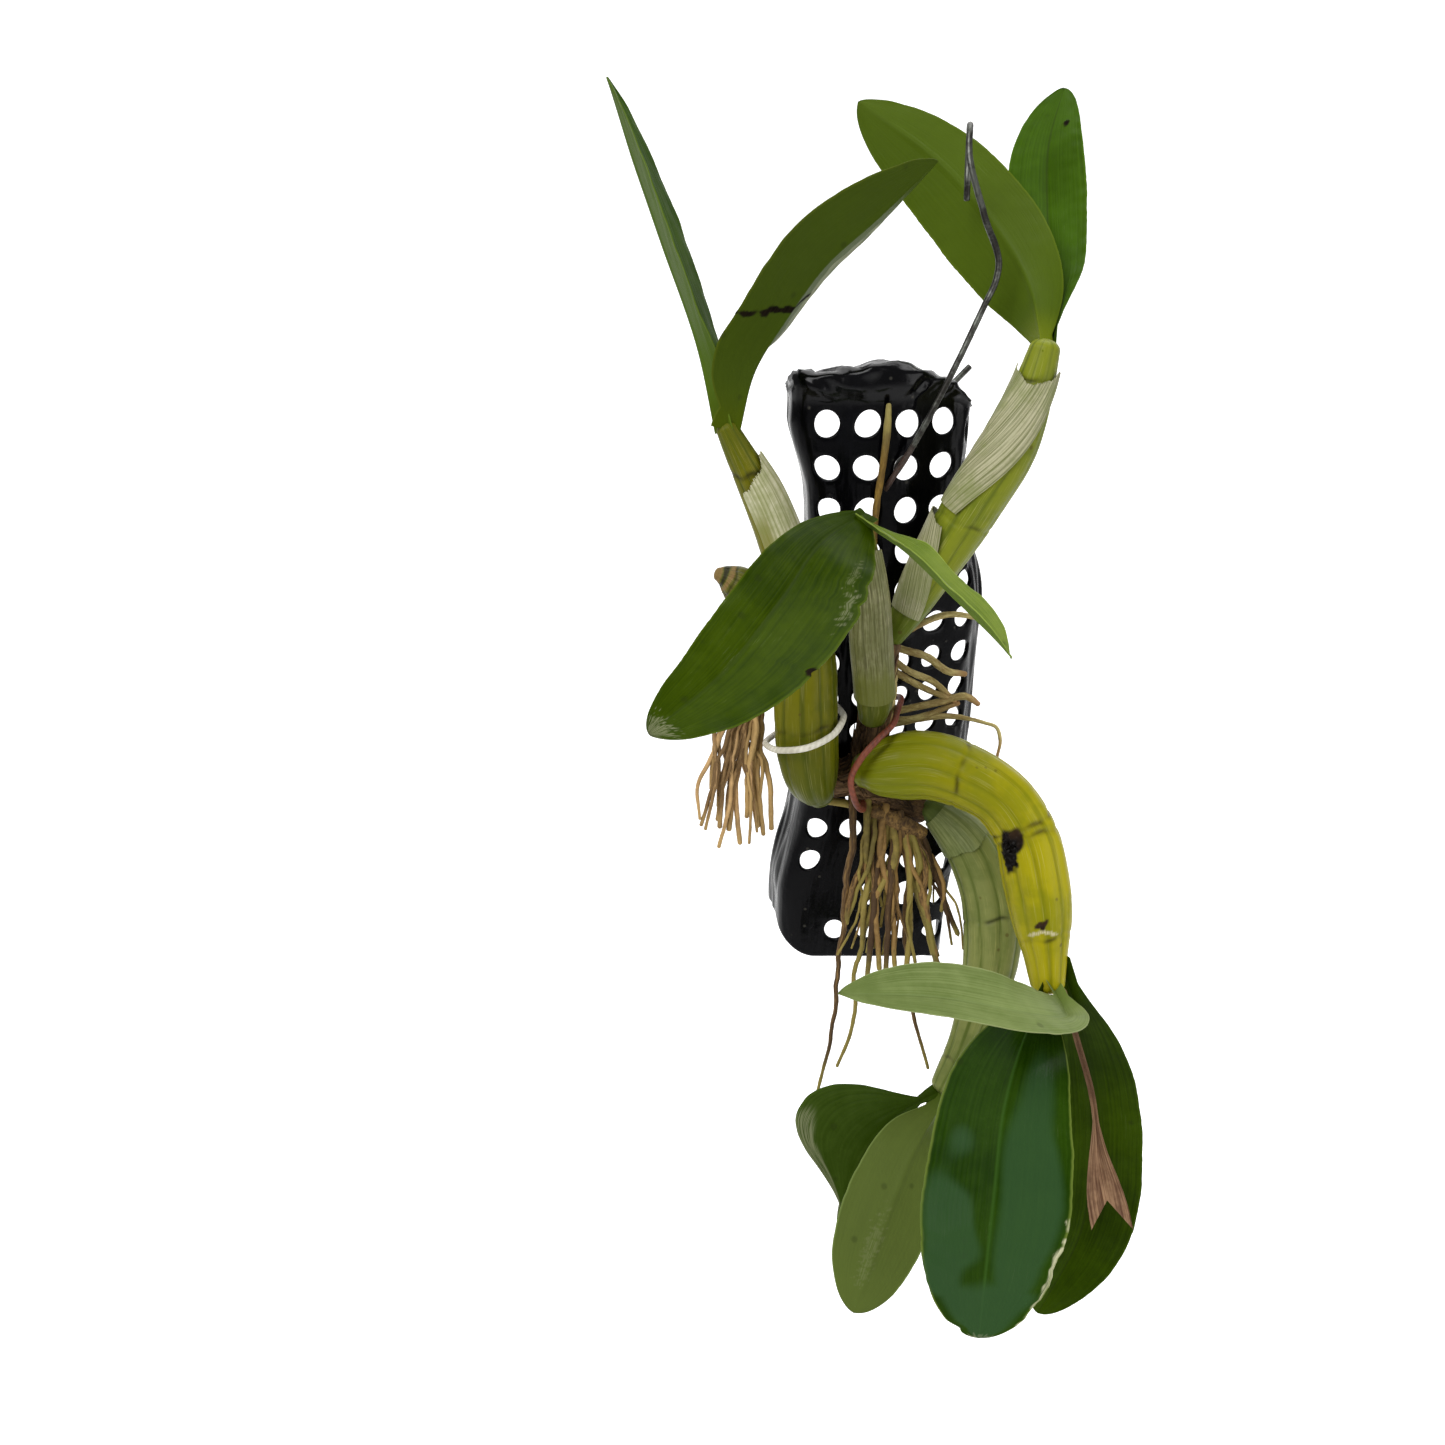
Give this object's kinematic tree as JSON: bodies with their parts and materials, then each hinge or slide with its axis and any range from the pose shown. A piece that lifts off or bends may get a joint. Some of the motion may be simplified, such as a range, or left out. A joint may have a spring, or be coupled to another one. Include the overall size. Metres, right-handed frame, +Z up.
{
  "type": "mounted cowhorn orchid",
  "caption": "Cowhorn orchid with ridged horn-shaped bulbs and strap leaves, tied with bare roots to a hanging half shell of perforated black plastic.",
  "frame": {"origin": "inner crown of the wire hook, where the rail that it hangs on bears", "axes": "+Z up along the hang line, -Y towards the viewer and the leaves, +X to the viewer's right"},
  "size_m": [0.2818, 0.2542, 0.6593],
  "materials": {
    "shell_plastic": "glossy black, rippled",
    "wire": "dull galvanised",
    "rhizome": "fibrous, matt",
    "bulb_old": "ridged, waxy satin",
    "bulb_yellow": "ridged, waxy satin, yellow green",
    "bulb_green": "ridged, satin grey green",
    "leaf_dark": "smooth, glossy dark green",
    "leaf_light": "satin light green",
    "sheath": "dry, papery, fibrous",
    "flower_sheath": "dry brown",
    "root": "matt, rough brown and pale yellow",
    "tie_white": "off-white cord",
    "tie_brown": "reddish brown cord"
  },
  "bodies": {
    "root": {"mount_shell": "shell_plastic", "hanger_wire": "wire", "rhizome": "rhizome", "bulb_left": "bulb_old", "bulb_centre": "bulb_old", "bulb_right": "bulb_old", "bulb_yellow": "bulb_yellow", "bulb_green": "bulb_green", "bulb_stub": "bulb_old", "leaf_left_narrow": "leaf_dark", "leaf_left_arched": "leaf_dark", "leaf_right_broad": "leaf_dark", "leaf_right_back": "leaf_dark", "leaf_centre_broad": "leaf_dark", "leaf_centre_narrow": "leaf_light", "leaf_low_right": "leaf_dark", "leaf_low_front": "leaf_dark", "leaf_low_pale": "leaf_light", "leaf_green_left": "leaf_dark", "leaf_green_under": "leaf_light", "sheath_left": "sheath", "sheath_centre": "sheath", "sheath_right_lower": "sheath", "sheath_right_upper": "sheath", "sheath_green": "sheath", "flower_sheath": "flower_sheath", "roots_left": "root", "roots_centre": "root", "roots_right": "root", "root_up": "root", "tie_white": "tie_white", "tie_brown": "tie_brown"}
  },
  "joints": []
}
